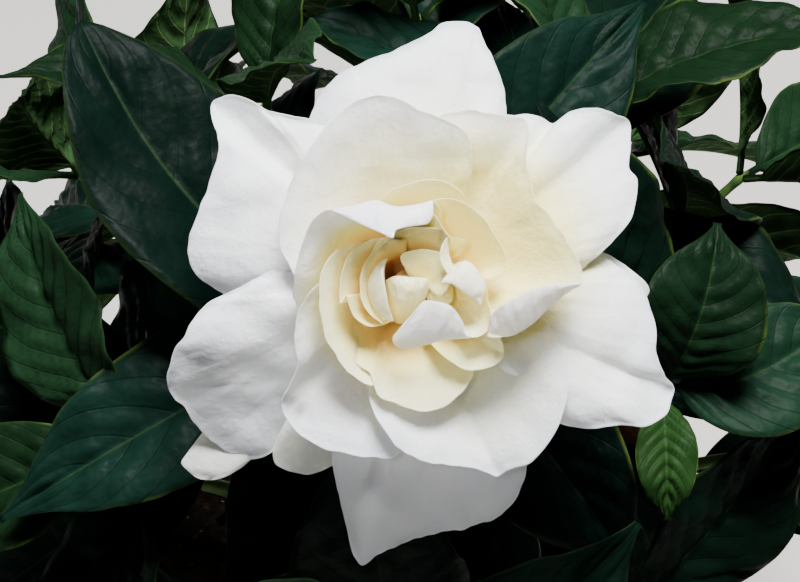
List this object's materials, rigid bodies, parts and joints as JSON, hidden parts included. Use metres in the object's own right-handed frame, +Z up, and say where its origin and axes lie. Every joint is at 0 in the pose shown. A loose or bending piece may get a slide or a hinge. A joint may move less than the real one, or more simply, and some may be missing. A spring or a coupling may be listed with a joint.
{
  "type": "potted gardenia",
  "caption": "Gardenia bush with one open white double bloom and glossy dark leaves, growing in soil in a plain round clay pot.",
  "frame": {"origin": "centre of the pot's flat base, on the surface that it stands on", "axes": "+Z up; the bloom faces -Y and up; +X to the right of someone who looks into the bloom"},
  "size_m": [0.2566, 0.2544, 0.3157],
  "materials": {
    "clay": "matte unglazed",
    "soil": "loose, damp",
    "bark": "matte, fissured",
    "leaf": "glossy, waxy",
    "petal": "soft, velvety"
  },
  "bodies": {
    "root": {"pot": "clay", "soil": "soil", "woody_stem": "bark", "flowering_shoot": "leaf", "bloom": "petal", "shoot_right_front": "leaf", "shoot_left_front": "leaf", "shoot_low_front": "leaf", "shoot_low_right_front": "leaf", "shoot_low_left_front": "leaf", "shoot_right": "leaf", "shoot_left": "leaf", "shoot_right_back": "leaf", "shoot_left_back": "leaf", "shoot_low_right_back": "leaf", "shoot_back": "leaf", "shoot_low_left_back": "leaf", "shoot_top_right": "leaf", "shoot_top_left": "leaf", "shoot_top_back": "leaf"}
  },
  "joints": []
}
